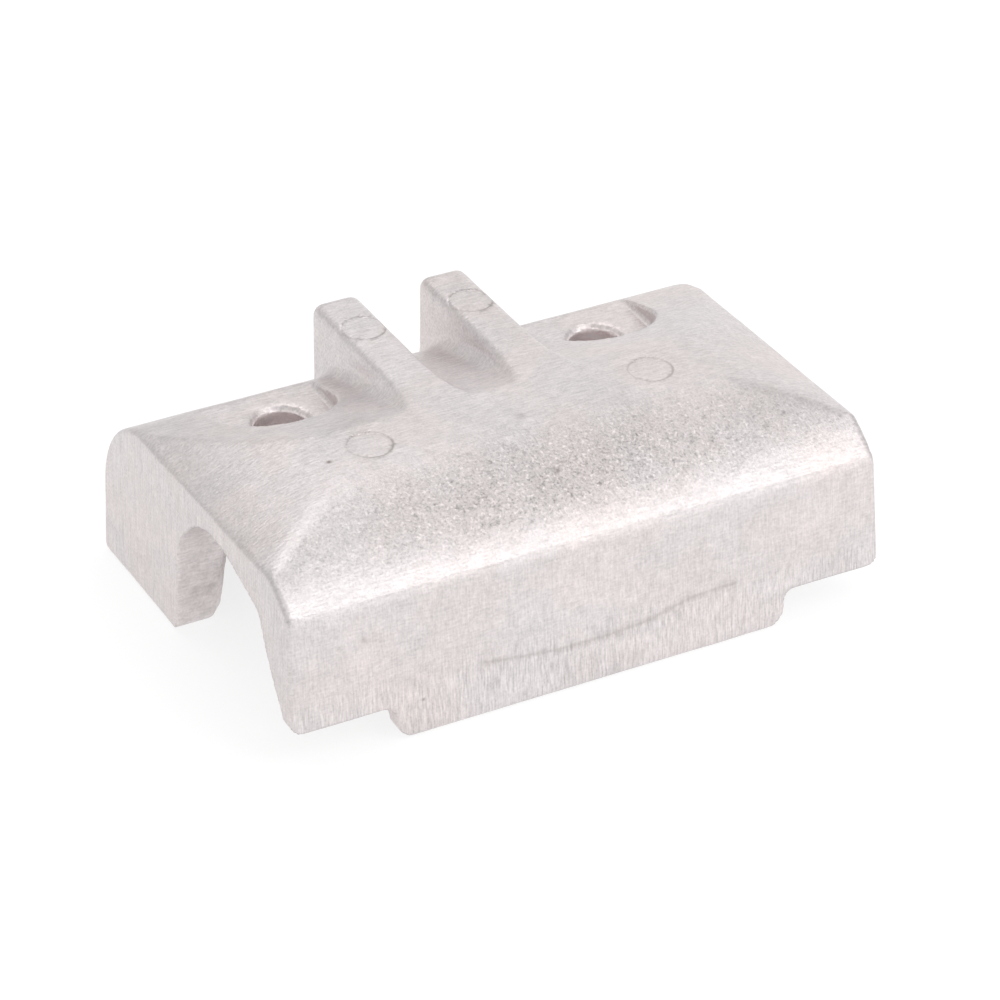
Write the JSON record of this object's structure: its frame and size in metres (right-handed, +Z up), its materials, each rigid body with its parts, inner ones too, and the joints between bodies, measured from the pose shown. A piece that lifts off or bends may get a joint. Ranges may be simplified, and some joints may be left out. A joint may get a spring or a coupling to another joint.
{
  "type": "sacrificial anode",
  "caption": "Cast saddle-shaped sacrificial anode with a crowned top, twin rear fins, spot-faced bolt holes and an arch underneath.",
  "frame": {"origin": "middle of the footprint, on the plane that the casting stands on", "axes": "+X along the length, to the right seen from the front skirt; +Y from the skirt to the rear wall; +Z up through the crown, along the bolts"},
  "size_m": [0.1062, 0.0729, 0.0357],
  "materials": {
    "cast_alloy": "matt as cast"
  },
  "bodies": {
    "root": {"anode_casting": "cast_alloy"}
  },
  "joints": []
}
